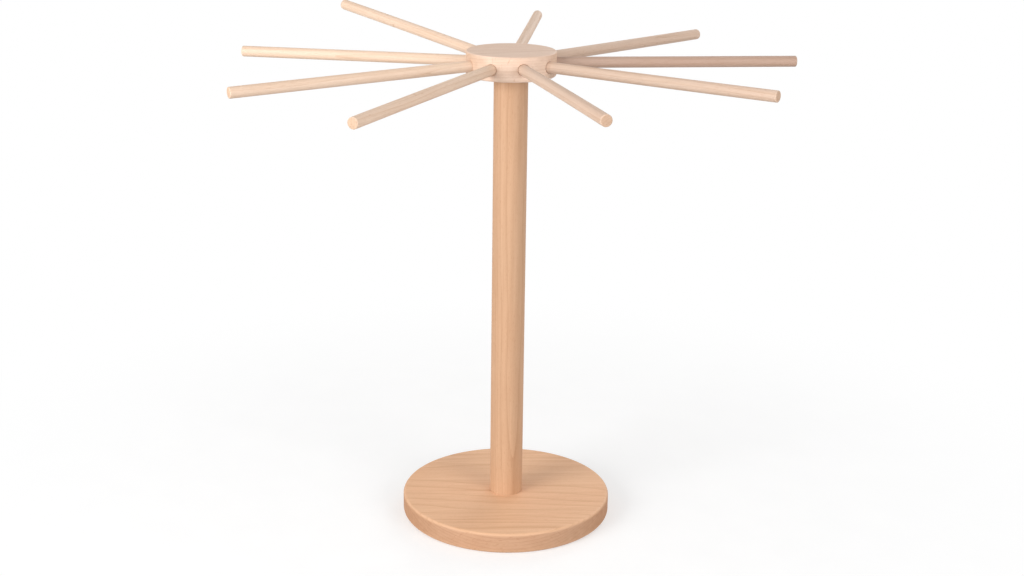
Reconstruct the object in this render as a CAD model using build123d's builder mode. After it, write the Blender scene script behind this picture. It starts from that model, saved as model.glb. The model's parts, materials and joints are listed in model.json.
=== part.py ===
from build123d import *
from math import cos, radians, sin
import os

# A turned beech rack for drying fresh pasta. A round base carries a post, and a hub on top of the
# post carries a ring of loose rods that the strands are hung over.
# Lengths are in millimetres. +Z is up, the origin is the centre of the base's underside, and the
# first rod points along +X.

# Base, a turned disc
base_diameter = 160.0
base_thickness = 16.0
base_top_round = 3.0
base_bottom_chamfer = 3.0
seat_floor = 8.0

# Post, a straight dowel whose foot is let into the base
post_diameter = 25.0
post_length = 334.5
post_ease = 0.8

# Screw that draws the post into the base from below
screw_length = 36.0
screw_shank_diameter = 5.0
screw_head_diameter = 9.6
screw_head_rim = 0.5
screw_head_sink = 0.8
screw_point_length = 7.0
screw_point_diameter = 1.0
screw_point_room = 1.5
recess_span = 5.4
recess_width = 1.3
recess_depth = 2.4

# Hub, a turned disc with a ring of stopped sockets in its side
hub_diameter = 65.5
hub_thickness = 18.0
hub_top_chamfer = 1.0
hub_bottom_chamfer = 1.5
hub_crown = 6.5
socket_wall = 2.0
socket_mouth_ease = 0.5

# Peg, a dowel pin glued into the post that the hub turns on
peg_diameter = 12.0
peg_length = 32.0
peg_chamfer = 1.0
peg_end_room = 0.5
flute_depth = 0.6

# Rods, straight dowels with eased ends
rod_diameter = 8.0
rod_length = 195.0
rod_ease = 0.7

# Clearances on the radius, and one overrun for cuts that start in the air
glue_gap = 0.05
turning_gap = 0.06
socket_gap = 0.1
screw_gap = 0.1
overrun = 1.0

# Numbers of copies
rod_count = 9
flute_count = 12

# Sockets that the maker drilled askew: a rod's number, then the turn and the rise in degrees
askew_sockets = {
    2: (-1.5, 0),
    3: (-2, 1.5),
    4: (5, 5.5),
    5: (-1.5, -1),
    6: (0.5, -2),
    7: (-3.5, -2),
}

# Heights and radii that follow from the sizes
post_top = seat_floor + post_length
hub_radius = hub_diameter / 2
rod_height = post_top + hub_thickness / 2
rod_numbers = range(1, rod_count + 1)
socket_radius = rod_diameter / 2 + socket_gap
socket_end_radius = (socket_radius + socket_wall / 2) / sin(radians(180 / rod_count))
socket_depth = hub_radius - socket_end_radius
peg_stand = hub_thickness - hub_crown - peg_end_room
peg_foot = post_top + peg_stand - peg_length
screw_tip = screw_head_sink + screw_length
screw_cone = (screw_head_diameter - screw_shank_diameter) / 2


def rod_plane(number, distance):
    """The plane square to one rod, facing outward, at a distance from the end of its socket."""
    turn, rise = askew_sockets.get(number, (0, 0))
    even = radians((number - 1) * 360 / rod_count)
    heading = even + radians(turn)
    socket_end = Vector(cos(even), sin(even), 0) * socket_end_radius + Vector(0, 0, rod_height)
    level = Vector(cos(heading), sin(heading), 0)
    outward = level * cos(radians(rise)) + Vector(0, 0, 1) * sin(radians(rise))
    return Plane(origin=socket_end + outward * distance, x_dir=Vector(0, 0, 1).cross(level), z_dir=outward)


def round_edges(part):
    """The circular edges of a turned piece, from the lowest to the highest."""
    return part.edges().filter_by(GeomType.CIRCLE).sort_by(Axis.Z)


os.makedirs("parts", exist_ok=True)

# Base: rounded on top and chamfered below, with a blind seat and a countersunk hole from below
with BuildPart() as base:
    with BuildSketch():
        Circle(base_diameter / 2)
    extrude(amount=base_thickness)
    fillet(round_edges(base)[-1], base_top_round)
    chamfer(round_edges(base)[0], base_bottom_chamfer)
    with Locations((0, 0, base_thickness)):
        Hole(post_diameter / 2 + glue_gap, depth=base_thickness - seat_floor)
    with Locations(Location((0, 0, 0), (180, 0, 0))):
        CounterSinkHole(
            radius=screw_shank_diameter / 2 + screw_gap,
            counter_sink_radius=screw_head_diameter / 2 + screw_head_rim + screw_head_sink + screw_gap,
            depth=seat_floor + overrun,
            counter_sink_angle=90,
        )
base.part.label = "base"
export_step(base.part, "parts/base.step")

# Post: eased at both ends, with a pilot hole for the screw and a blind bore for the peg
with BuildPart() as post:
    with BuildSketch(Plane.XY.offset(seat_floor)):
        Circle(post_diameter / 2)
    extrude(amount=post_length)
    chamfer(round_edges(post), post_ease)
    with Locations((0, 0, post_top)):
        Hole(peg_diameter / 2 + glue_gap, depth=post_top - peg_foot + peg_end_room)
    with Locations(Location((0, 0, seat_floor), (180, 0, 0))):
        Hole(screw_shank_diameter / 2 + screw_gap, depth=screw_tip - seat_floor + screw_point_room)
post.part.label = "post"
export_step(post.part, "parts/post.step")

# Base screw: a countersunk head with a cross recess, a straight shank and a drawn point
with BuildPart() as base_screw:
    with BuildSketch(Plane.XZ):
        with BuildLine():
            Polyline(
                (0, screw_head_sink),
                (screw_head_diameter / 2, screw_head_sink),
                (screw_head_diameter / 2, screw_head_sink + screw_head_rim),
                (screw_shank_diameter / 2, screw_head_sink + screw_head_rim + screw_cone),
                (screw_shank_diameter / 2, screw_tip - screw_point_length),
                (screw_point_diameter / 2, screw_tip),
                (0, screw_tip),
                close=True,
            )
        make_face()
    revolve(axis=Axis.Z)
    with BuildSketch(Plane.XY.offset(screw_head_sink)):
        Rectangle(recess_span, recess_width)
        Rectangle(recess_width, recess_span)
    extrude(amount=recess_depth, mode=Mode.SUBTRACT)
base_screw.part.label = "base_screw"
export_step(base_screw.part, "parts/base_screw.step")

# Hub peg: smooth where the hub turns on it, fluted where glue holds it in the post
with BuildPart() as hub_peg:
    with BuildSketch(Plane.XY.offset(peg_foot)):
        Circle(peg_diameter / 2)
    extrude(amount=peg_length)
    chamfer(round_edges(hub_peg), peg_chamfer)
    with BuildSketch(Plane.XY.offset(peg_foot)):
        with PolarLocations(peg_diameter / 2, flute_count):
            Circle(flute_depth)
    extrude(amount=peg_length - peg_stand, mode=Mode.SUBTRACT)
hub_peg.part.label = "hub_peg"
export_step(hub_peg.part, "parts/hub_peg.step")

# Hub: stands on the post's end, with a blind bore over the peg and a stopped socket for each rod
with BuildPart() as hub:
    with BuildSketch(Plane.XY.offset(post_top)):
        Circle(hub_radius)
    extrude(amount=hub_thickness)
    chamfer(round_edges(hub)[-1], hub_top_chamfer)
    chamfer(round_edges(hub)[0], hub_bottom_chamfer)
    with Locations(Location((0, 0, post_top), (180, 0, 0))):
        Hole(peg_diameter / 2 + turning_gap, depth=hub_thickness - hub_crown)
    with Locations(*[rod_plane(number, socket_depth) for number in rod_numbers]):
        CounterSinkHole(
            radius=socket_radius,
            counter_sink_radius=socket_radius + socket_mouth_ease,
            depth=socket_depth,
            counter_sink_angle=90,
        )
hub.part.label = "hub"
export_step(hub.part, "parts/hub.step")

# Rods: each pushed home against the end of its own socket
for number in rod_numbers:
    with BuildPart() as rod:
        with BuildSketch(rod_plane(number, 0)):
            Circle(rod_diameter / 2)
        extrude(amount=rod_length)
        chamfer(rod.edges().filter_by(GeomType.CIRCLE), rod_ease)
    rod.part.label = f"rod_{number}"
    export_step(rod.part, f"parts/rod_{number}.step")

print(f"height {post_top + hub_thickness:.1f}, reach {socket_end_radius + rod_length:.1f}")
print(f"socket depth {socket_depth:.2f}, rods at height {rod_height:.1f}")
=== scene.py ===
"""Dresses the drying rack: a turned base and post, a drilled hub, nine dowels and a plain studio."""

import json
from math import atan2, cos, pi, radians, sin, sqrt, tau

import bmesh
import bpy
import numpy as np
from bpy.props import FloatProperty, FloatVectorProperty, IntProperty, PointerProperty
from mathutils import Matrix, Vector


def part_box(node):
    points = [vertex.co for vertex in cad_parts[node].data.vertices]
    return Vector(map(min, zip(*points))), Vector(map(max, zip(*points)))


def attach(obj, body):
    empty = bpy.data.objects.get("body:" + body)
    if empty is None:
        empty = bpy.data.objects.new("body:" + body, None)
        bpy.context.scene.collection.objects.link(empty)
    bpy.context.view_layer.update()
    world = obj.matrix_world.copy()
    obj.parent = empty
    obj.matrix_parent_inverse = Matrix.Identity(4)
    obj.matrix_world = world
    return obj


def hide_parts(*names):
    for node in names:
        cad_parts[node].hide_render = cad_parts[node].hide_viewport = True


bl_info = {
    "name": "Drying Rack",
    "version": (1, 0, 0),
    "blender": (4, 5, 0),
    "location": "3D View > Sidebar > Drying Rack",
    "description": "Dresses a turned beech drying rack and sets up its studio",
    "category": "Object",
}

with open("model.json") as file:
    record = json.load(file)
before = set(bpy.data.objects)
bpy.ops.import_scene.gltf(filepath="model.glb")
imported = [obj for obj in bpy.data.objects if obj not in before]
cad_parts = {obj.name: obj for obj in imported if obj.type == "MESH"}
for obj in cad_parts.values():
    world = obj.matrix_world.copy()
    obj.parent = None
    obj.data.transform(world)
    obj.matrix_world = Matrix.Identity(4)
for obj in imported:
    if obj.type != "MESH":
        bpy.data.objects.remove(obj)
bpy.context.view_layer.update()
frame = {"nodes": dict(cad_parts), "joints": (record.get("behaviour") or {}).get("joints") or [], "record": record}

ROD_JOINTS = [joint for joint in frame["joints"] if joint["type"] == "slide"]

UP = Vector((0, 0, 1))
WHITE = (1, 1, 1, 1)

# How each piece was cut from its board: the fibres' direction, the way from the pith to the piece,
# how far away the pith is, and how far up the board, in metres
BASE_BOARD = {"along": (1, -0.05, 0.02), "outward": (0, -0.12, 1), "pith": 0.17, "shift": 0.4}
POST_BOARD = {"along": (0.012, 0.006, 1), "outward": (0.5, -1, 0), "pith": 0.045, "shift": 1.3}
HUB_BOARD = {
    "along": (1, 0.12, 0.02), "outward": (0, 0.5, 1), "pith": 0.06, "shift": 2.2, "centre": (0, 0, 0.35)}
PEG_PITH = 0.02

# The same for the rods, as ranges to draw from: how far the fibres slant, then the pith and the shift
ROD_SLANTS = (-0.01, 0.01)
ROD_PITHS = (0.02, 0.07)
ROD_SHIFTS = (3, 9)

# How much deeper each rod's colour is, from the first rod on: the rods' own tones, with painted shade in the first
# rod's share.
# Then how much painted shade darkens the base's turned side
ROD_TONES_AND_SHADE = (1.0, 0.5, 0.2, 0.0, 0.0, 0.04, 0.1, 0.45, 0.45)
BASE_SIDE_PAINTED_SHADE = 0.7

# Each rod has a part of the full bow, and its seated share of the length stays straight
BOW_SHARES = (0.3, 1.0)
SEATED_SHARE = 0.1

# How finely the pieces are divided
BASE_SIDES = 192
BASE_ROUND_STEPS = 8
POST_SIDES = 96
POST_ROUND_STEPS = 5
ROD_SIDES = 48
ROD_STATIONS = 38
ROD_END_STATIONS = 6
SOCKET_ACROSS = 20
SOCKET_UPWARD = 6
SOCKET_LIP_STEPS = 4
HUB_ROUND_STEPS = 6

# Rings of corners between a socket's share of the hub's side, at 0, and the socket's rim, at 1
WALL_SHARES = (0.0, 0.3, 0.6, 0.85, 0.96)

# Rings down a socket's bore, from its lip, at 0, to its end, at 1
BORE_SHARES = (0.6, 0.985, 1.0)

# Rings on the hub's top, as shares of its radius
TOP_SHARES = (0.75, 0.45, 0.15)

# Flat bands next to a round, in metres, that keep its shading crisp
BASE_BAND = 0.001
POST_BAND = 0.0005
HUB_BAND = 0.0006

# Faces that meet at more than this keep a sharp edge between them
SHARP = radians(38)
ROD_SHARP = radians(60)

# Corners closer than the first are one corner, and edges shorter than the second have no length
SAME_PLACE = 1e-7
NO_LENGTH = 1e-8

# A lathe profile is carried round on a circle of this radius
SPINDLE = 0.002


# Sizes, colours and studio values that a user would change

class RackSizes(bpy.types.PropertyGroup):
    """Small sizes that the frame's boxes don't tell."""

    base_top_round: FloatProperty(
        name="Base top round", description="Radius of the base's upper edge",
        default=0.002, min=0, unit="LENGTH")
    base_bottom_round: FloatProperty(
        name="Base bottom round", description="Radius of the base's lower edge",
        default=0.0034, min=0, unit="LENGTH")
    screw_hole: FloatProperty(
        name="Screw hole", description="Radius of the hole for the screw's shank",
        default=0.0026, unit="LENGTH")
    countersink: FloatProperty(
        name="Countersink", description="Radius of the countersink at the underside",
        default=0.0062, unit="LENGTH")
    post_ease: FloatProperty(
        name="Post ease", description="Radius of the post's eased ends",
        default=0.0008, unit="LENGTH")
    fit_gap: FloatProperty(
        name="Fit gap", description="Room on the radius round a dowel in its bore",
        default=0.00006, unit="LENGTH")
    end_room: FloatProperty(
        name="End room", description="Room past the ends of the peg and the screw",
        default=0.0005, unit="LENGTH")
    hub_top_round: FloatProperty(
        name="Hub top round", description="Radius of the hub's upper edge",
        default=0.0012, unit="LENGTH")
    hub_bottom_round: FloatProperty(
        name="Hub bottom round", description="Radius of the hub's lower edge",
        default=0.0017, unit="LENGTH")
    socket_gap: FloatProperty(
        name="Socket gap", description="Room on the radius round a rod in its socket",
        default=0.0001, unit="LENGTH")
    mouth_ease: FloatProperty(
        name="Mouth ease", description="Radius of the lip round each socket",
        default=0.0005, unit="LENGTH")
    rod_ease: FloatProperty(
        name="Rod ease", description="Radius of the rods' eased ends",
        default=0.0008, unit="LENGTH")
    rod_bow: FloatProperty(
        name="Rod bow", description="How far a rod's free stretch bends out of line",
        default=0.0003, unit="LENGTH")
    seed: IntProperty(name="Seed", description="Chooses the rods' boards and how they bow", default=4)


class BeechLook(bpy.types.PropertyGroup):
    """The colours and the grain of steamed beech."""

    base_tone: FloatVectorProperty(
        name="Base", description="Colour of the base",
        subtype="COLOR_GAMMA", default=(0.905, 0.735, 0.590))
    # The post is drawn darker than the other beech: partly its own tone, partly painted shade
    post_tone_and_shade: FloatVectorProperty(
        name="Post", description="Colour of the post",
        subtype="COLOR_GAMMA", default=(0.795, 0.645, 0.518))
    hub_tone: FloatVectorProperty(
        name="Hub", description="Colour of the hub",
        subtype="COLOR_GAMMA", default=(0.904, 0.804, 0.730))
    rod_tone: FloatVectorProperty(
        name="Rods", description="Colour of the rods",
        subtype="COLOR_GAMMA", default=(0.918, 0.822, 0.737))
    peg_tone: FloatVectorProperty(
        name="Peg", description="Colour of the peg",
        subtype="COLOR_GAMMA", default=(0.871, 0.718, 0.580))
    ring_width: FloatProperty(
        name="Ring width", description="One year's growth", default=0.0024, unit="LENGTH")
    fibre_width: FloatProperty(
        name="Fibre width", description="Width of the fine streaks", default=0.0005, unit="LENGTH")
    fibre_length: FloatProperty(
        name="Fibre length", description="Length of the fine streaks", default=0.022, unit="LENGTH")
    ray_width: FloatProperty(
        name="Ray width", description="Spacing of the ray flecks across the grain",
        default=0.00048, unit="LENGTH")
    ray_length: FloatProperty(
        name="Ray length", description="Spacing of the ray flecks along the grain",
        default=0.0052, unit="LENGTH")
    ray_depth: FloatProperty(
        name="Ray depth", description="How far a ray reaches away from the pith",
        default=0.010, unit="LENGTH")


class StudioSetup(bpy.types.PropertyGroup):
    """The camera at the photograph's place, and the lamps."""

    focal_pixels: FloatProperty(
        name="Focal length", description="Focal length in pixels of the photograph", default=1585.5)
    camera_distance: FloatProperty(
        name="Distance", description="Camera to the post's axis, along the floor",
        default=1.1364, unit="LENGTH")
    camera_height: FloatProperty(
        name="Height", description="Camera above the floor", default=0.5448, unit="LENGTH")
    camera_side: FloatProperty(
        name="Side", description="Camera to the right of the post's axis",
        default=0.0027, unit="LENGTH")
    camera_pitch: FloatProperty(
        name="Pitch", description="How far the camera looks down",
        default=radians(17.745), unit="ROTATION")
    camera_roll: FloatProperty(
        name="Roll", description="How far the camera leans", default=0.0133, unit="ROTATION")
    camera_turn: FloatProperty(
        name="Turn", description="Camera's place round the post",
        default=radians(-6.06), unit="ROTATION")
    key_power: FloatProperty(name="Key", description="Power of the large lamp on the left", default=48.0)
    fill_power: FloatProperty(name="Fill", description="Power of the lamp on the right", default=25.0)
    back_power: FloatProperty(name="Back", description="Power of the lamp behind", default=10.0)
    sky: FloatProperty(name="Sky", description="Level of the light from all round", default=0.48)
    floor_glow: FloatProperty(
        name="Floor glow", description="White that the floor shows to the camera", default=0.46)
    shadow_reach: FloatProperty(
        name="Shadow reach", description="Where the floor has turned plain white",
        default=0.55, unit="LENGTH")


class RackSettings(bpy.types.PropertyGroup):
    """All settings of the drying rack."""

    sizes: PointerProperty(type=RackSizes)
    beech: PointerProperty(type=BeechLook)
    studio: PointerProperty(type=StudioSetup)


# Node trees, written as expressions

class Socket:
    """An output socket. Sums and products of sockets add their Math nodes."""

    def __init__(self, net, socket):
        self.net = net
        self.socket = socket

    def __add__(self, other):
        return self.net.math("ADD", self, other)

    def __radd__(self, other):
        return self.net.math("ADD", other, self)

    def __sub__(self, other):
        return self.net.math("SUBTRACT", self, other)

    def __rsub__(self, other):
        return self.net.math("SUBTRACT", other, self)

    def __mul__(self, other):
        return self.net.math("MULTIPLY", self, other)

    def __rmul__(self, other):
        return self.net.math("MULTIPLY", other, self)

    def __truediv__(self, other):
        return self.net.math("DIVIDE", self, other)

    def __rtruediv__(self, other):
        return self.net.math("DIVIDE", other, self)

    def __pow__(self, other):
        return self.net.math("POWER", self, other)


class Net:
    """A node tree, with one method that adds any node."""

    def __init__(self, tree):
        self.tree = tree

    def node(self, kind, settings=None, sockets=None):
        """Adds a node, sets it, then fills its inputs with values or links."""
        node = self.tree.nodes.new(kind)
        for name, value in (settings or {}).items():
            setattr(node, name, value)
        for key, value in (sockets or {}).items():
            if isinstance(value, Socket):
                self.tree.links.new(value.socket, node.inputs[key])
            else:
                node.inputs[key].default_value = value
        return node

    def get(self, kind, settings=None, sockets=None, output=0):
        """One output of a new node."""
        return Socket(self, self.node(kind, settings, sockets).outputs[output])

    def math(self, operation, *values, clamp=False):
        settings = {"operation": operation, "use_clamp": clamp}
        return self.get("ShaderNodeMath", settings, dict(enumerate(values)))

    def clamped(self, value):
        """A value kept between 0 and 1."""
        return self.math("ADD", value, 0.0, clamp=True)

    def vector_math(self, operation, *values, output=0):
        return self.get("ShaderNodeVectorMath", {"operation": operation}, dict(enumerate(values)), output)

    def scaled(self, vector, factor):
        return self.get("ShaderNodeVectorMath", {"operation": "SCALE"}, {0: vector, "Scale": factor})

    def vector(self, x, y, z):
        return self.get("ShaderNodeCombineXYZ", None, {"X": x, "Y": y, "Z": z})

    def xyz(self, vector):
        node = self.node("ShaderNodeSeparateXYZ", None, {"Vector": vector})
        return [Socket(self, node.outputs[axis]) for axis in "XYZ"]

    def mix(self, factor, a, b, blend="MIX"):
        settings = {"data_type": "RGBA", "blend_type": blend, "clamp_factor": True}
        return self.get("ShaderNodeMix", settings, {0: factor, 6: a, 7: b}, output=2)

    def tint(self, factor, colour, by):
        """A colour multiplied by another one as far as a factor says."""
        return self.mix(factor, colour, (*by, 1.0), blend="MULTIPLY")

    def step(self, value, low, high):
        """0 below low, 1 above high and a smooth rise between them."""
        settings = {"interpolation_type": "SMOOTHSTEP"}
        return self.get("ShaderNodeMapRange", settings, {"Value": value, 1: low, 2: high, 3: 0.0, 4: 1.0})

    def noise(self, vector, detail=2.0, roughness=0.5, output=0):
        sockets = {"Vector": vector, "Scale": 1.0, "Detail": detail, "Roughness": roughness}
        return self.get("ShaderNodeTexNoise", None, sockets, output)

    def attribute(self, name, output="Fac"):
        settings = {"attribute_type": "GEOMETRY", "attribute_name": name}
        return self.get("ShaderNodeAttribute", settings, None, output)


def linear(colour):
    """A display colour as the linear values that a shader works in, with alpha."""
    values = [v / 12.92 if v <= 0.04045 else ((v + 0.055) / 1.055) ** 2.4 for v in colour]
    return (*values, 1.0)


def toned(colour, factors):
    """A colour with a factor on each channel, at most white."""
    return (*(min(c * k, 1.0) for c, k in zip(colour, factors)), 1.0)


def new_material(name):
    """An empty material and its net."""
    material = bpy.data.materials.new(name)
    material.use_nodes = True
    material.node_tree.nodes.clear()
    return material, Net(material.node_tree)


# Beech

# Marks in the wood, in metres: their size across the fibres, then along them
SWAY = (0.05, 0.28)
BROAD_STREAK = (0.004, 0.11)
PORE = (0.00016, 0.0014)
CLOUD = (0.045, 0.09)

# How far the rings sway, how far apart good years lie, and how much good years push the rings
SWAY_REACH = 0.012
GOOD_YEARS = 0.011
YEAR_PUSH = 2.2

# How suddenly a ring ends in its dark late wood
LATE_WOOD_POWER = 5.0

# Where a mark starts to show, and where it is full, in its noise or in how far the surface is end grain
PORE_EDGE = (0.55, 0.75)
CLOUD_EDGE = (0.35, 0.75)
RAY_CHOICE = (0.45, 0.95)
END_EDGE = (0.55, 0.98)
RUBBED_EDGE = (0.3, 0.65)
TOOL_EDGE = (0.35, 0.7)

# How far from its middle a ray fleck starts to fade, and where it is gone
RAY_EDGE = (0.16, 0.36)

# What each mark adds to the depth of the colour, to the roughness and to the relief of plain wood
DEPTH = {"plain": 0.22, "late_wood": 0.42, "broad": 0.78, "fibre": 0.55, "pore": 0.25}
ROUGHNESS = {"plain": 0.60, "fibre": 0.25, "end": 0.12, "rubbed": -0.12, "fleck": -0.10}
RELIEF = {"plain": 0.0, "fibre": 0.6, "pore": -0.4, "broad": 0.2, "fleck": -0.25, "late_wood": 0.15}
TOOL_RELIEF = 0.5

# What a mark does to the wood's colour, as a factor on red, green and blue, and how fully it does that
LATE_WOOD = (0.80, 0.68, 0.57)
EARLY_WOOD = (1.07, 1.06, 1.06)
# This deepens the rods' own tones, and on the base's side it is painted shade
DEEP_TONE_AND_SHADE = (0.60, 0.55, 0.56)
WARM_CLOUD = (1.0, 0.955, 0.925)
WARM_CLOUD_SHARE = 0.6
RAY_FLECK = (0.80, 0.66, 0.54)
RAY_FLECK_SHARE = 0.55
END_GRAIN = (0.86, 0.78, 0.69)
END_GRAIN_SHARE = 0.75
RUBBED_SHARE = 0.35

# The lathe's rings and the patches where sanding has left them, in metres
TOOL_PITCH = 0.0005
TOOL_PATCH = 0.02

# The height of the relief in metres, its strength, and how wood bends light
RELIEF_HEIGHT = 0.00012
RELIEF_STRENGTH = 0.55
WOOD_IOR = 1.45


def grain_marks(net):
    """The grain's coordinates, end-grain share, edge wear, and depth of tone with painted shade, as each mesh has
    them.
    """
    shares = [net.attribute(name) for name in ("end_grain", "edge_wear", "tone")]
    return net.attribute("grain", "Vector"), *shares


def upright_grain(net):
    """The same four for the peg, whose fibres stand upright and whose mesh carries no marks."""
    coordinates = net.node("ShaderNodeTexCoord")
    grain = net.get("ShaderNodeMapping", None, {
        "Vector": Socket(net, coordinates.outputs["Object"]),
        "Location": (PEG_PITH, 0.0, 0.0),
    })
    end = net.math("ABSOLUTE", net.xyz(Socket(net, coordinates.outputs["Normal"]))[2])
    return grain, end, 0.0, 0.0


def tool_marks(net):
    """Faint rings that the lathe left, on a piece turned round the Z axis."""
    x, y, z = net.xyz(net.get("ShaderNodeTexCoord", None, None, "Object"))
    size = net.math("SQRT", x * x + y * y)
    rings = net.noise(net.vector(size / TOOL_PITCH, z / TOOL_PITCH, 0.0), detail=2.0)
    patches = net.noise(net.vector(x / TOOL_PATCH, y / TOOL_PATCH, z / TOOL_PATCH), detail=1.0)
    return rings * net.step(patches, *TOOL_EDGE)


def add_marks(marks, shares):
    """The plain surface's value, and each mark's share on top of it."""
    total = shares["plain"]
    for name, share in shares.items():
        if name != "plain":
            total = total + marks[name] * share
    return total


def beech(name, look, tone, marks=grain_marks, pith=HUB_BOARD["pith"], turned=False):
    """Sanded, unvarnished beech as a solid texture: rings round a pith, fibres along it, and ray flecks.

    The texture is cut by the piece's own surface, as wood is. pith is how far from the pith the piece
    lies, about, which sets how wide the ray flecks come out.
    """
    material, net = new_material(name)
    grain, end, wear, tone_and_shade_depth = marks(net)
    x, y, z = net.xyz(grain)

    def spread(across, along):
        return net.vector(x / across, y / across, z / along)

    sway_x, sway_y, _ = net.xyz(net.noise(spread(*SWAY), detail=2.0, output=1))
    pith_x = x + (sway_x - 0.5) * SWAY_REACH
    pith_y = y + (sway_y - 0.5) * SWAY_REACH
    radius = net.math("SQRT", pith_x * pith_x + pith_y * pith_y)
    turn = net.math("ARCTAN2", pith_y, pith_x) * pith

    years = net.noise(net.vector(radius / GOOD_YEARS, 0.0, 0.0), detail=1.0)
    ring = net.math("FRACT", radius / look.ring_width + years * YEAR_PUSH)
    broad = net.noise(spread(*BROAD_STREAK), detail=3.0)
    fibre = net.noise(spread(look.fibre_width, look.fibre_length), detail=3.0, roughness=0.6)
    pores = net.noise(spread(*PORE), detail=1.0)
    cloud = net.step(net.noise(spread(*CLOUD), detail=2.0), *CLOUD_EDGE)

    rays = net.node("ShaderNodeTexVoronoi", {"feature": "F1"}, {
        "Vector": net.vector(turn / look.ray_width, radius / look.ray_depth, z / look.ray_length),
        "Scale": 1.0,
    })
    ray_shape = 1.0 - net.step(Socket(net, rays.outputs["Distance"]), *RAY_EDGE)
    ray_choice = net.step(net.xyz(Socket(net, rays.outputs["Color"]))[0], *RAY_CHOICE)
    found = {
        "late_wood": ring ** LATE_WOOD_POWER,
        "broad": broad - 0.5,
        "fibre": fibre - 0.5,
        "pore": net.step(pores, *PORE_EDGE),
        "fleck": ray_shape * ray_choice,
        "end": net.step(end, *END_EDGE),
        "rubbed": wear * net.step(broad, *RUBBED_EDGE),
    }

    light = linear(tone)
    pale = toned(light, EARLY_WOOD)
    colour = net.mix(net.clamped(add_marks(found, DEPTH)), pale, toned(light, LATE_WOOD))
    # Deeper tone of the rods' wood, and painted shade on the base's side
    colour = net.tint(tone_and_shade_depth, colour, DEEP_TONE_AND_SHADE)
    colour = net.tint(cloud * WARM_CLOUD_SHARE, colour, WARM_CLOUD)
    colour = net.tint(found["fleck"] * RAY_FLECK_SHARE, colour, RAY_FLECK)
    colour = net.tint(found["end"] * END_GRAIN_SHARE, colour, END_GRAIN)
    colour = net.mix(found["rubbed"] * RUBBED_SHARE, colour, pale)

    height = add_marks(found, RELIEF)
    if turned:
        height = height + tool_marks(net) * TOOL_RELIEF
    bump = {"Strength": RELIEF_STRENGTH, "Distance": RELIEF_HEIGHT, "Height": height}
    shader = net.node("ShaderNodeBsdfPrincipled", None, {
        "Base Color": colour,
        "Roughness": net.clamped(add_marks(found, ROUGHNESS)),
        "Normal": net.get("ShaderNodeBump", None, bump),
        "IOR": WOOD_IOR,
    })
    net.node("ShaderNodeOutputMaterial", None, {"Surface": Socket(net, shader.outputs["BSDF"])})
    return material


# Zinc-plated steel

# Its two greys, and where the blotches turn it from one to the other
ZINC_DULL = (0.50, 0.50, 0.49, 1.0)
ZINC_BRIGHT = (0.66, 0.64, 0.57, 1.0)
ZINC_EDGE = (0.3, 0.7)

# How close together its blotches and its scratches are, what they add to the roughness, and the relief
ZINC_BLOTCHES = 900.0
ZINC_SCRATCHES = (6000.0, 500.0, 500.0)
ZINC_ROUGHNESS = {"plain": 0.28, "blotches": 0.2, "scratches": 0.1}
ZINC_RELIEF_HEIGHT = 0.00003
ZINC_RELIEF_STRENGTH = 0.4


def zinc(name):
    """Zinc-plated steel with a passivated, faintly blotched skin."""
    material, net = new_material(name)
    place = net.get("ShaderNodeTexCoord", None, None, "Object")
    blotches = net.noise(net.scaled(place, ZINC_BLOTCHES), detail=3.0)
    scratches = net.noise(net.vector_math("MULTIPLY", place, ZINC_SCRATCHES), detail=2.0)
    roughness = add_marks({"blotches": blotches, "scratches": scratches}, ZINC_ROUGHNESS)
    bump = {"Strength": ZINC_RELIEF_STRENGTH, "Distance": ZINC_RELIEF_HEIGHT, "Height": scratches}
    shader = net.node("ShaderNodeBsdfPrincipled", None, {
        "Base Color": net.mix(net.step(blotches, *ZINC_EDGE), ZINC_DULL, ZINC_BRIGHT),
        "Metallic": 1.0,
        "Roughness": net.clamped(roughness),
        "Normal": net.get("ShaderNodeBump", None, bump),
    })
    net.node("ShaderNodeOutputMaterial", None, {"Surface": Socket(net, shader.outputs["BSDF"])})
    return material


# Studio finishes

# The floor's half width in metres, the density of its mottles and its two greys
FLOOR_HALF = 8.0
FLOOR_MOTTLES = 30.0
FLOOR_DARK = (0.56, 0.56, 0.56, 1.0)
FLOOR_PALE = (0.60, 0.60, 0.60, 1.0)

# Where the floor starts to fade to plain white, as a share of where it is white
FADE_START = 0.3


def seen_directly(net):
    """1 where a camera, glossy or transmission ray looks, else 0."""
    path = net.node("ShaderNodeLightPath")
    rays = [Socket(net, path.outputs[f"Is {kind} Ray"]) for kind in ("Camera", "Glossy", "Transmission")]
    return net.clamped(rays[0] + rays[1] + rays[2])


def floor_paint(glow, reach):
    """Pale matt paint. It adds a little white for the camera, so the lit floor is white and shadows stay,
    and further away than its reach it looks plain white.
    """
    material, net = new_material("floor_paint")
    place = net.get("ShaderNodeTexCoord", None, None, "Object")
    mottle = net.noise(net.scaled(place, FLOOR_MOTTLES), detail=3.0)
    paint = net.node("ShaderNodeBsdfDiffuse", None, {"Color": net.mix(mottle, FLOOR_DARK, FLOOR_PALE)})
    seen = seen_directly(net)
    light = net.node("ShaderNodeEmission", None, {"Color": WHITE, "Strength": seen * glow})
    both = net.node("ShaderNodeAddShader", None, {
        0: Socket(net, paint.outputs[0]),
        1: Socket(net, light.outputs[0]),
    })
    plain = net.node("ShaderNodeEmission", None, {"Color": WHITE, "Strength": 1.0})
    far = net.step(net.vector_math("LENGTH", place, output=1), reach * FADE_START, reach)
    faded = net.node("ShaderNodeMixShader", None, {
        0: seen * far,
        1: Socket(net, both.outputs[0]),
        2: Socket(net, plain.outputs[0]),
    })
    net.node("ShaderNodeOutputMaterial", None, {"Surface": Socket(net, faded.outputs[0])})
    return material


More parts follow.
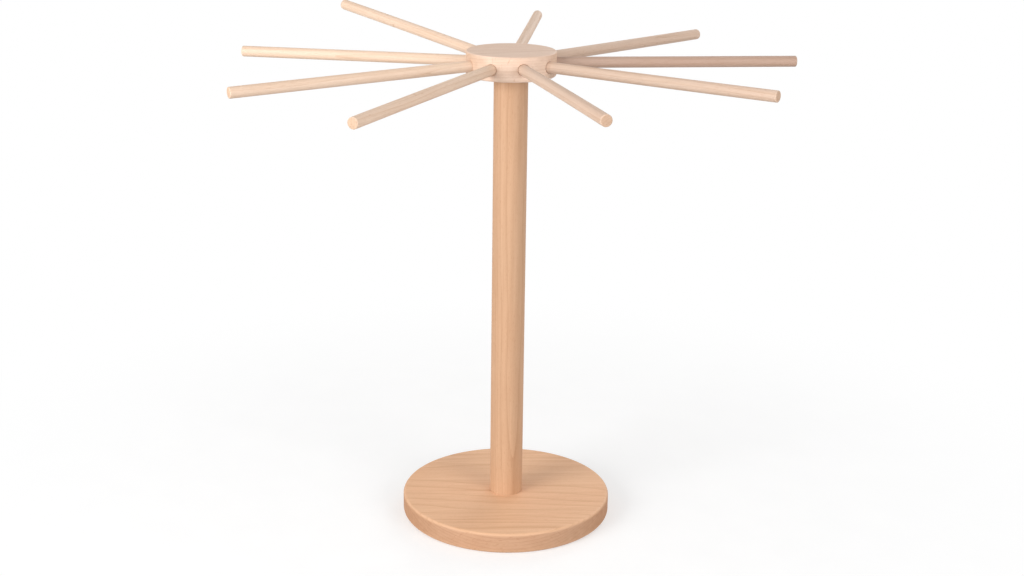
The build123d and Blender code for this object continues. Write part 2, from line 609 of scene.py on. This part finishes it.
def studio_world(sky):
    """A white backdrop to look at, and a soft light from all round."""
    world = bpy.data.worlds.new("studio")
    world.use_nodes = True
    world.node_tree.nodes.clear()
    net = Net(world.node_tree)
    seen = seen_directly(net)
    background = net.node("ShaderNodeBackground", None, {
        "Color": WHITE,
        "Strength": seen + (1.0 - seen) * sky,
    })
    net.node("ShaderNodeOutputWorld", None, {"Surface": Socket(net, background.outputs[0])})
    bpy.context.scene.world = world


# Geometry Nodes

def new_tree(name, inputs):
    """A Geometry Nodes tree with named inputs. Returns its net and the inputs as sockets."""
    tree = bpy.data.node_groups.new(name, "GeometryNodeTree")
    tree.interface.new_socket(name="Geometry", in_out="INPUT", socket_type="NodeSocketGeometry")
    for label, kind in inputs.items():
        tree.interface.new_socket(name=label, in_out="INPUT", socket_type=f"NodeSocket{kind}")
    tree.interface.new_socket(name="Geometry", in_out="OUTPUT", socket_type="NodeSocketGeometry")
    net = Net(tree)
    given = net.node("NodeGroupInput")
    return net, {socket.name: Socket(net, socket) for socket in given.outputs if socket.name}


def end_tree(net, geometry, material):
    """Every tree ends by making its instances real and giving them their material."""
    real = net.get("GeometryNodeRealizeInstances", None, {"Geometry": geometry})
    painted = net.get("GeometryNodeSetMaterial", None, {"Geometry": real, "Material": material})
    net.node("NodeGroupOutput", None, {"Geometry": painted})
    return net.tree


def turning_tree():
    """Turns the profile that its object holds, drawn in X and Z, round the Z axis."""
    net, given = new_tree("turning", {"Steps": "Int", "Spindle": "Float", "Material": "Material"})
    outline = net.get("GeometryNodeMeshToCurve", None, {"Mesh": given["Geometry"]})
    x, y, z = net.xyz(net.get("GeometryNodeInputPosition"))
    laid = net.get("GeometryNodeSetPosition", None, {
        "Geometry": outline,
        "Position": net.vector(x - given["Spindle"], 0.0 - z, 0.0),
    })
    path = net.get("GeometryNodeCurvePrimitiveCircle", None, {
        "Resolution": given["Steps"],
        "Radius": given["Spindle"],
    })
    skin = net.get("GeometryNodeCurveToMesh", None, {"Curve": path, "Profile Curve": laid})
    closed = net.get("GeometryNodeMergeByDistance", None, {"Geometry": skin, "Distance": SAME_PLACE})
    return end_tree(net, closed, given["Material"])


def dowel_tree():
    """A dowel with rounded ends and a slight bow, on a line from Start along Direction.

    Its stations follow in this order: the near end's round, a band next to it, the middle, a band, and the
    far end's round. Each round and each band is one Ease long. Seated is the length that stays straight.
    """
    net, given = new_tree("dowel", {
        "Start": "Vector",
        "Direction": "Vector",
        "Bow Direction": "Vector",
        "Length": "Float",
        "Radius": "Float",
        "Ease": "Float",
        "Bow": "Float",
        "Seated": "Float",
        "Sides": "Int",
        "Stations": "Int",
        "Ease Stations": "Int",
        "Material": "Material",
    })
    length, ease, seated = given["Length"], given["Ease"], given["Seated"]
    index = net.get("GeometryNodeInputIndex")
    last = given["Stations"] - 1.0
    count = given["Ease Stations"]
    near = net.clamped(index / count) * (pi / 2)
    far = net.clamped((index - last + count) / count) * (pi / 2)
    near_lip = net.clamped(index - count)
    far_lip = net.clamped(index - last + count + 1.0)
    middle = net.clamped((index - count - 1.0) / (last - count * 2.0 - 2.0))
    along = ease * (1.0 - net.math("COSINE", near)) + ease * net.math("SINE", far)
    along = along + ease * near_lip + ease * far_lip + (length - ease * 4.0) * middle
    radius = given["Radius"] - ease * (2.0 - net.math("SINE", near) - net.math("COSINE", far))
    free = net.clamped((along - seated) / (length - seated))
    bow = given["Bow"] * net.math("SINE", free * pi)
    centre = net.vector_math(
        "ADD",
        net.vector_math("ADD", given["Start"], net.scaled(given["Direction"], along)),
        net.scaled(given["Bow Direction"], bow),
    )
    line = net.get("GeometryNodeCurvePrimitiveLine", None, {"Start": (0, 0, 0), "End": (0, 0, 1)})
    stations = net.get("GeometryNodeResampleCurve", None, {"Curve": line, "Count": given["Stations"]})
    placed = net.get("GeometryNodeSetPosition", None, {"Geometry": stations, "Position": centre})
    circle = net.get("GeometryNodeCurvePrimitiveCircle", None, {
        "Resolution": given["Sides"],
        "Radius": 1.0,
    })
    skin = net.get("GeometryNodeCurveToMesh", None, {
        "Curve": placed,
        "Profile Curve": circle,
        "Scale": radius,
        "Fill Caps": True,
    })
    return end_tree(net, skin, given["Material"])


def run_tree(name, tree, values, start=None):
    """Runs a tree once on a mesh and keeps what it makes as a plain piece."""
    holder = bpy.data.objects.new("holder", start or bpy.data.meshes.new("holder"))
    bpy.context.scene.collection.objects.link(holder)
    modifier = holder.modifiers.new("shape", "NODES")
    modifier.node_group = tree
    for item in tree.interface.items_tree:
        if item.in_out == "INPUT" and item.name in values:
            modifier[item.identifier] = values[item.name]
    bpy.context.view_layer.update()
    made = holder.evaluated_get(bpy.context.evaluated_depsgraph_get())
    mesh = bpy.data.meshes.new_from_object(made)
    mesh.name = name
    holder.modifiers.remove(modifier)
    bpy.data.objects.remove(holder)
    return new_piece(name, mesh)


# Meshes

def new_piece(name, mesh):
    piece = bpy.data.objects.new(name, mesh)
    bpy.context.scene.collection.objects.link(piece)
    return piece


def finish_mesh(mesh, sharp=SHARP):
    """Merges doubles, turns every face outward and shades all but the sharp edges smooth."""
    shape = bmesh.new()
    shape.from_mesh(mesh)
    bmesh.ops.remove_doubles(shape, verts=shape.verts, dist=SAME_PLACE)
    bmesh.ops.dissolve_degenerate(shape, edges=shape.edges, dist=NO_LENGTH)
    bmesh.ops.recalc_face_normals(shape, faces=shape.faces)
    shape.to_mesh(mesh)
    shape.free()
    mesh.shade_smooth()
    mesh.set_sharp_from_angle(angle=sharp)
    mesh.update()


def mark_grain(piece, along, outward, pith, shift, turned=UP, centre=(0, 0, 0), tone=0.0, rim=0.0):
    """Writes where the piece lies in its board: across, across and along the fibres from the pith.

    along is the fibres' direction, outward points from the pith to the piece, and shift is how far up its
    board the piece was cut. turned is the axis that the piece was turned on, which tells its worn edges
    from its plain sides. tone is how much deeper the piece's wood is, and rim is painted shade: how much
    darker still its turned sides are drawn.
    """
    mesh = piece.data
    along = Vector(along).normalized()
    outward = Vector(outward)
    outward = (outward - along * outward.dot(along)).normalized()
    sideways = along.cross(outward)
    turned = np.array(Vector(turned).normalized())

    points = np.empty(len(mesh.vertices) * 3)
    mesh.vertices.foreach_get("co", points)
    points = points.reshape(-1, 3) - np.array(centre)
    grain = points @ np.array([outward, sideways, along]).T + np.array([pith, 0.0, shift])
    attribute = mesh.attributes.new("grain", "FLOAT_VECTOR", "POINT")
    attribute.data.foreach_set("vector", grain.astype(np.float32).ravel())

    normals = np.empty(len(mesh.loops) * 3)
    mesh.corner_normals.foreach_get("vector", normals)
    normals = normals.reshape(-1, 3)
    facing = np.abs(normals @ turned)
    marks = {
        "end_grain": np.abs(normals @ np.array(along)),
        "edge_wear": np.clip(2.0 * facing * np.sqrt(np.clip(1.0 - facing**2, 0, 1)), 0, 1),
        # rim adds painted shade on the turned sides, on top of the wood's tone
        "tone": tone + rim * (1.0 - facing),
    }
    for name, values in marks.items():
        attribute = mesh.attributes.new(name, "FLOAT", "CORNER")
        attribute.data.foreach_set("value", values.astype(np.float32))


def arc(centre, radius, start, end, steps):
    """Points on an arc of a profile, from one angle to another, in degrees from the X axis."""
    angles = [radians(start + (end - start) * i / steps) for i in range(steps + 1)]
    return [(centre[0] + radius * cos(a), centre[1] + radius * sin(a)) for a in angles]


def profile_mesh(points, closed):
    """A profile as a mesh of edges in X and Z."""
    mesh = bpy.data.meshes.new("profile")
    edges = [(i, i + 1) for i in range(len(points) - 1)]
    if closed:
        edges.append((len(points) - 1, 0))
    mesh.from_pydata([(x, 0.0, z) for x, z in points], edges, [])
    return mesh


def turned_piece(name, points, closed, steps, material):
    """A piece turned on the lathe: its profile taken round the Z axis."""
    values = {"Steps": steps, "Spindle": SPINDLE, "Material": material}
    piece = run_tree(name, turning_tree(), values, profile_mesh(points, closed))
    finish_mesh(piece.data)
    return piece


# What the frame tells

def node_points(node):
    """A node's corners as rows of an array, in metres."""
    mesh = frame["nodes"][node].data
    points = np.empty(len(mesh.vertices) * 3, np.float32)
    mesh.vertices.foreach_get("co", points)
    return points.reshape(-1, 3).astype(float)


def dowel_line(node, axis):
    """Start, direction, length and radius of a straight dowel, read from its node."""
    points = node_points(node)
    axis = np.array(axis, float) / np.linalg.norm(axis)
    along = points @ axis
    across = points - np.outer(along, axis)
    middle = (across.min(0) + across.max(0)) / 2
    radius = np.linalg.norm(across - middle, axis=1).max()
    return Vector(middle + axis * along.min()), Vector(axis), along.max() - along.min(), radius


def rod_lines():
    """The line of every rod, in the order of the rods' names."""
    return [dowel_line(joint["child"], joint["axis"]) for joint in ROD_JOINTS]


def body_of_node(node):
    """The body that a node belongs to."""
    bodies = frame["record"]["behaviour"]["bodies"]
    return next(body for body, nodes in bodies.items() if node in nodes)


def stand_for(piece, node):
    """The piece stands for a node: it hides the node and moves with its body."""
    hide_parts(node)
    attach(piece, body_of_node(node))


def settings():
    return bpy.context.scene.drying_rack


# The hub with its ring of sockets

class SocketRing:
    """Places in the hub's side, on a cylinder round the Z axis."""

    def __init__(self, radius, bottom, top):
        self.radius = radius
        self.bottom = bottom
        self.top = top

    def wall(self, angle, height):
        return (self.radius * cos(angle), self.radius * sin(angle), height)

    def reach(self, point, axis):
        """How far along an axis a line from a point meets the side."""
        a = axis.x**2 + axis.y**2
        b = point.x * axis.x + point.y * axis.y
        c = point.x**2 + point.y**2 - self.radius**2
        return (sqrt(b * b - a * c) - b) / a

    def mouth(self, line):
        """The angle and the height at which a rod's line meets the side."""
        start, axis = line[:2]
        point = start + axis * self.reach(start, axis)
        return atan2(point.y, point.x) % tau, point.z

    def border(self, left, right):
        """Corners round one socket's share of the side, as turns from its mouth and heights."""
        across, upward = SOCKET_ACROSS, SOCKET_UPWARD
        width, tall = right - left, self.top - self.bottom
        corners = [(left + width * k / across, self.bottom) for k in range(across)]
        corners += [(right, self.bottom + tall * k / upward) for k in range(upward)]
        corners += [(right - width * k / across, self.top) for k in range(across)]
        corners += [(left, self.top - tall * k / upward) for k in range(upward)]
        return corners


def ring_faces(first, second):
    """Quads between two rings of as many corners."""
    count = len(first)
    return [
        (first[i], first[(i + 1) % count], second[(i + 1) % count], second[i])
        for i in range(count)
    ]


class Shell:
    """Corners and faces of a mesh while it is made."""

    def __init__(self):
        self.points = []
        self.faces = []

    def ring(self, points):
        start = len(self.points)
        self.points.extend(tuple(p) for p in points)
        return list(range(start, len(self.points)))

    def join(self, rings):
        for first, second in zip(rings, rings[1:]):
            self.faces.extend(ring_faces(first, second))

    def cap(self, ring, centre):
        middle = self.ring([centre])[0]
        count = len(ring)
        self.faces.extend((ring[i], ring[(i + 1) % count], middle) for i in range(count))

    def mesh(self, name, material):
        mesh = bpy.data.meshes.new(name)
        mesh.from_pydata(self.points, [], self.faces)
        mesh.materials.append(material)
        return mesh


def socket_rings(ring, line, sizes, angles):
    """Rings of one socket from its mouth in the hub's side down to its end."""
    start, axis, _, rod_radius = line
    level = Vector((axis.x, axis.y, 0)).normalized()
    side = UP.cross(level)
    rise = axis.cross(side)
    bore = rod_radius + sizes.socket_gap
    ease = sizes.mouth_ease
    around = [side * cos(a) + rise * sin(a) for a in angles]
    mouths = [ring.reach(start + way * (bore + ease), axis) for way in around]
    rings = []
    for step in range(SOCKET_LIP_STEPS + 1):
        lean = radians(90 * step / SOCKET_LIP_STEPS)
        rings.append([
            start + way * (bore + ease * (1 - sin(lean))) + axis * (mouth - ease * (1 - cos(lean)))
            for way, mouth in zip(around, mouths)
        ])
    for depth in BORE_SHARES:
        rings.append([
            start + way * bore + axis * (mouth - ease) * (1 - depth)
            for way, mouth in zip(around, mouths)
        ])
    return rings


def drill_socket(shell, ring, line, corners, sizes):
    """The hub's side from some corners to the rim of a socket, and the socket down to its end."""
    here, height = ring.mouth(line)
    angles = [atan2(z - height, turn * ring.radius) for turn, z in corners]
    rings = socket_rings(ring, line, sizes, angles)
    rim = [(((atan2(p.y, p.x) - here + pi) % tau) - pi, p.z) for p in rings[0]]
    made = []
    for share in WALL_SHARES:
        made.append(shell.ring([
            ring.wall(here + t0 + (t1 - t0) * share, z0 + (z1 - z0) * share)
            for (t0, z0), (t1, z1) in zip(corners, rim)
        ]))
    made += [shell.ring(points) for points in rings]
    shell.join(made)
    shell.cap(made[-1], line[0])


def drill_sockets(shell, ring, sizes):
    """The hub's whole side with its sockets. Returns the angles of the corners along its edges."""
    lines = rod_lines()
    headings = [ring.mouth(line)[0] for line in lines]
    gaps = [(after - here) % tau for here, after in zip(headings, headings[1:] + headings[:1])]
    turns = []
    for i, (line, here) in enumerate(zip(lines, headings)):
        corners = ring.border(-gaps[i - 1] / 2, gaps[i] / 2)
        drill_socket(shell, ring, line, corners, sizes)
        turns += [here + turn for turn, _ in corners[:SOCKET_ACROSS]]
    return turns


def hub_mesh(material):
    """A turned disc with rounded edges, a stopped socket for each rod and a blind bore below."""
    sizes = settings().sizes
    low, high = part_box("hub")
    radius = max(high.x, high.y, -low.x, -low.y)
    upper, lower = sizes.hub_top_round, sizes.hub_bottom_round
    shell = Shell()
    turns = drill_sockets(shell, SocketRing(radius, low.z + lower, high.z - upper), sizes)

    def level(size, height):
        return shell.ring([(size * cos(t), size * sin(t), height) for t in turns])

    crown = arc((radius - upper, high.z - upper), upper, 0, 90, HUB_ROUND_STEPS)
    top = [level(r, z) for r, z in crown]
    top += [level(radius - upper - HUB_BAND, high.z)]
    top += [level(radius * share, high.z) for share in TOP_SHARES]
    shell.join(top)
    shell.cap(top[-1], (0, 0, high.z))

    peg_low, peg_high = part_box("hub_peg")
    bore = (peg_high.x - peg_low.x) / 2 + sizes.fit_gap
    bore_end = peg_high.z + sizes.end_room
    foot = arc((radius - lower, low.z + lower), lower, 0, -90, HUB_ROUND_STEPS)
    bottom = [level(r, z) for r, z in foot]
    bottom += [level(radius - lower - HUB_BAND, low.z), level(bore, low.z), level(bore, bore_end)]
    shell.join(bottom)
    shell.cap(bottom[-1], (0, 0, bore_end))
    return shell.mesh("hub", material)


# Operators, one for each piece or group of like pieces

class RACK_OT_base(bpy.types.Operator):
    """Turn the base"""

    bl_idname = "rack.base"
    bl_label = "Base"

    def execute(self, context):
        rack = settings()
        sizes = rack.sizes
        low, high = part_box("base")
        radius = max(high.x, high.y)
        top, bottom = sizes.base_top_round, sizes.base_bottom_round
        post_low, post_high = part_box("post")
        seat = max(post_high.x, post_high.y) + sizes.fit_gap
        sink = sizes.countersink - sizes.screw_hole
        points = [(sizes.screw_hole, post_low.z), (seat, post_low.z), (seat, high.z)]
        points += [((seat + radius) / 2, high.z), (radius - top - BASE_BAND, high.z)]
        points += arc((radius - top, high.z - top), top, 90, 0, BASE_ROUND_STEPS)
        points += [(radius, high.z - top - BASE_BAND), (radius, low.z + bottom + BASE_BAND)]
        points += arc((radius - bottom, low.z + bottom), bottom, 0, -90, BASE_ROUND_STEPS)
        points += [(radius - bottom - BASE_BAND, low.z), (sizes.countersink, low.z)]
        points += [(sizes.screw_hole, low.z + sink)]
        tone, pith = rack.beech.base_tone, BASE_BOARD["pith"]
        material = beech("base_wood", rack.beech, tone, pith=pith, turned=True)
        piece = turned_piece("turned_base", points, True, BASE_SIDES, material)
        # The base's turned side is drawn darker with painted shade
        mark_grain(piece, **BASE_BOARD, rim=BASE_SIDE_PAINTED_SHADE)
        stand_for(piece, "base")
        return {"FINISHED"}


class RACK_OT_post(bpy.types.Operator):
    """Turn the post"""

    bl_idname = "rack.post"
    bl_label = "Post"

    def execute(self, context):
        rack = settings()
        sizes = rack.sizes
        low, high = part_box("post")
        radius = max(high.x, high.y)
        ease = sizes.post_ease
        peg_low, peg_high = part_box("hub_peg")
        bore = (peg_high.x - peg_low.x) / 2 + sizes.fit_gap
        bore_end = peg_low.z - sizes.end_room
        pilot_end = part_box("base_screw")[1].z + sizes.end_room
        points = [(0, bore_end), (bore, bore_end), (bore, high.z)]
        points += [(radius - ease - POST_BAND, high.z)]
        points += arc((radius - ease, high.z - ease), ease, 90, 0, POST_ROUND_STEPS)
        points += [(radius, high.z - ease - POST_BAND), (radius, low.z + ease + POST_BAND)]
        points += arc((radius - ease, low.z + ease), ease, 0, -90, POST_ROUND_STEPS)
        points += [(radius - ease - POST_BAND, low.z), (sizes.screw_hole, low.z)]
        points += [(sizes.screw_hole, pilot_end), (0, pilot_end)]
        material = beech("post_wood", rack.beech, rack.beech.post_tone_and_shade, turned=True)
        piece = turned_piece("turned_post", points, False, POST_SIDES, material)
        mark_grain(piece, **POST_BOARD)
        stand_for(piece, "post")
        return {"FINISHED"}


class RACK_OT_hub(bpy.types.Operator):
    """Turn the hub and drill its ring of sockets"""

    bl_idname = "rack.hub"
    bl_label = "Hub"

    def execute(self, context):
        rack = settings()
        material = beech("hub_wood", rack.beech, rack.beech.hub_tone, turned=True)
        piece = new_piece("drilled_hub", hub_mesh(material))
        finish_mesh(piece.data)
        mark_grain(piece, **HUB_BOARD)
        stand_for(piece, "hub")
        return {"FINISHED"}


class RACK_OT_rods(bpy.types.Operator):
    """Cut the rods and push them home"""

    bl_idname = "rack.rods"
    bl_label = "Rods"

    def execute(self, context):
        rack = settings()
        sizes = rack.sizes
        material = beech("rod_wood", rack.beech, rack.beech.rod_tone)
        tree = dowel_tree()
        chance = np.random.default_rng(sizes.seed)
        for joint, tone, (start, axis, length, radius) in zip(ROD_JOINTS, ROD_TONES_AND_SHADE, rod_lines()):
            node = joint["child"]
            spin = chance.uniform(0, tau)
            side = UP.cross(axis).normalized()
            bow_way = side * cos(spin) + axis.cross(side) * sin(spin)
            piece = run_tree(f"dowel_{node}", tree, {
                "Start": start,
                "Direction": axis,
                "Bow Direction": bow_way,
                "Length": length,
                "Radius": radius,
                "Ease": sizes.rod_ease,
                "Bow": sizes.rod_bow * chance.uniform(*BOW_SHARES),
                "Seated": length * SEATED_SHARE,
                "Sides": ROD_SIDES,
                "Stations": ROD_STATIONS,
                "Ease Stations": ROD_END_STATIONS,
                "Material": material,
            })
            finish_mesh(piece.data, sharp=ROD_SHARP)
            turn = chance.uniform(0, tau)
            mark_grain(
                piece,
                along=axis + side * chance.uniform(*ROD_SLANTS),
                outward=side * cos(turn) + axis.cross(side) * sin(turn),
                pith=chance.uniform(*ROD_PITHS),
                shift=chance.uniform(*ROD_SHIFTS),
                turned=axis,
                centre=start,
                tone=tone,
            )
            stand_for(piece, node)
        return {"FINISHED"}


class RACK_OT_hidden(bpy.types.Operator):
    """Finish the peg in the post and the screw under the base"""

    bl_idname = "rack.hidden"
    bl_label = "Peg and screw"

    def execute(self, context):
        rack = settings()
        finishes = {
            "hub_peg": beech("peg_wood", rack.beech, rack.beech.peg_tone, marks=upright_grain),
            "base_screw": zinc("zinc_steel"),
        }
        for node, material in finishes.items():
            frame["nodes"][node].material_slots[0].material = material
        return {"FINISHED"}


# Each lamp's place and width, in metres, and the point that they all face
LAMPS = {
    "key": ((-1.9, -1.4, 0.9), 1.6),
    "fill": ((1.4, -1.9, 0.85), 1.4),
    "back": ((1.2, 1.9, 1.3), 1.2),
}
LAMP_AIM = Vector((0, 0, 0.44))

# The photograph's width in pixels, the camera's sensor in millimetres and how far it sees in metres
IMAGE_WIDTH = 1024
SENSOR_WIDTH = 36.0
SIGHT = 50.0


class RACK_OT_stage(bpy.types.Operator):
    """Lay the floor, hang the lamps and set up the camera"""

    bl_idname = "rack.stage"
    bl_label = "Stage"

    def execute(self, context):
        studio = settings().studio
        scene = context.scene
        scene.view_settings.view_transform = "Standard"
        studio_world(studio.sky)
        self.lay_floor(studio)
        for name, (place, width) in LAMPS.items():
            self.hang_lamp(name, place, width, getattr(studio, f"{name}_power"))
        scene.camera = self.set_camera(studio)
        return {"FINISHED"}

    def lay_floor(self, studio):
        mesh = bpy.data.meshes.new("floor")
        corners = [(x * FLOOR_HALF, y * FLOOR_HALF, 0) for x, y in ((-1, -1), (1, -1), (1, 1), (-1, 1))]
        mesh.from_pydata(corners, [], [(0, 1, 2, 3)])
        mesh.materials.append(floor_paint(studio.floor_glow, studio.shadow_reach))
        new_piece("floor", mesh)

    def hang_lamp(self, name, place, width, power):
        data = bpy.data.lights.new(name, "AREA")
        data.shape = "DISK"
        data.size = width
        data.energy = power
        lamp = new_piece(name, data)
        lamp.location = place
        lamp.visible_camera = False
        lamp.rotation_euler = (LAMP_AIM - Vector(place)).to_track_quat("-Z", "Y").to_euler()

    def set_camera(self, studio):
        data = bpy.data.cameras.new("camera")
        data.sensor_width = SENSOR_WIDTH
        data.lens = studio.focal_pixels * SENSOR_WIDTH / IMAGE_WIDTH
        data.clip_end = SIGHT
        camera = new_piece("camera", data)
        place = Matrix.Translation((studio.camera_side, -studio.camera_distance, studio.camera_height))
        look = Matrix.Rotation(pi / 2 - studio.camera_pitch, 4, "X")
        lean = Matrix.Rotation(studio.camera_roll, 4, "Z")
        camera.matrix_world = Matrix.Rotation(studio.camera_turn, 4, "Z") @ place @ look @ lean
        return camera


class RACK_PT_panel(bpy.types.Panel):
    """Lists the rack's pieces and settings"""

    bl_idname = "RACK_PT_panel"
    bl_label = "Drying Rack"
    bl_space_type = "VIEW_3D"
    bl_region_type = "UI"
    bl_category = "Drying Rack"

    def draw(self, context):
        layout = self.layout
        for operator in OPERATORS:
            layout.operator(operator.bl_idname)
        rack = settings()
        for title, group in (("Sizes", rack.sizes), ("Beech", rack.beech), ("Studio", rack.studio)):
            box = layout.box()
            box.label(text=title)
            for name in group.__annotations__:
                box.prop(group, name)


OPERATORS = (RACK_OT_base, RACK_OT_post, RACK_OT_hub, RACK_OT_rods, RACK_OT_hidden, RACK_OT_stage)
CLASSES = (RackSizes, BeechLook, StudioSetup, RackSettings, *OPERATORS, RACK_PT_panel)


def register():
    for cls in CLASSES:
        bpy.utils.register_class(cls)
    bpy.types.Scene.drying_rack = PointerProperty(type=RackSettings)


def unregister():
    del bpy.types.Scene.drying_rack
    for cls in reversed(CLASSES):
        bpy.utils.unregister_class(cls)


def main():
    register()
    bpy.ops.rack.base()
    bpy.ops.rack.post()
    bpy.ops.rack.hub()
    bpy.ops.rack.rods()
    bpy.ops.rack.hidden()
    bpy.ops.rack.stage()


if __name__ == "__main__":
    main()
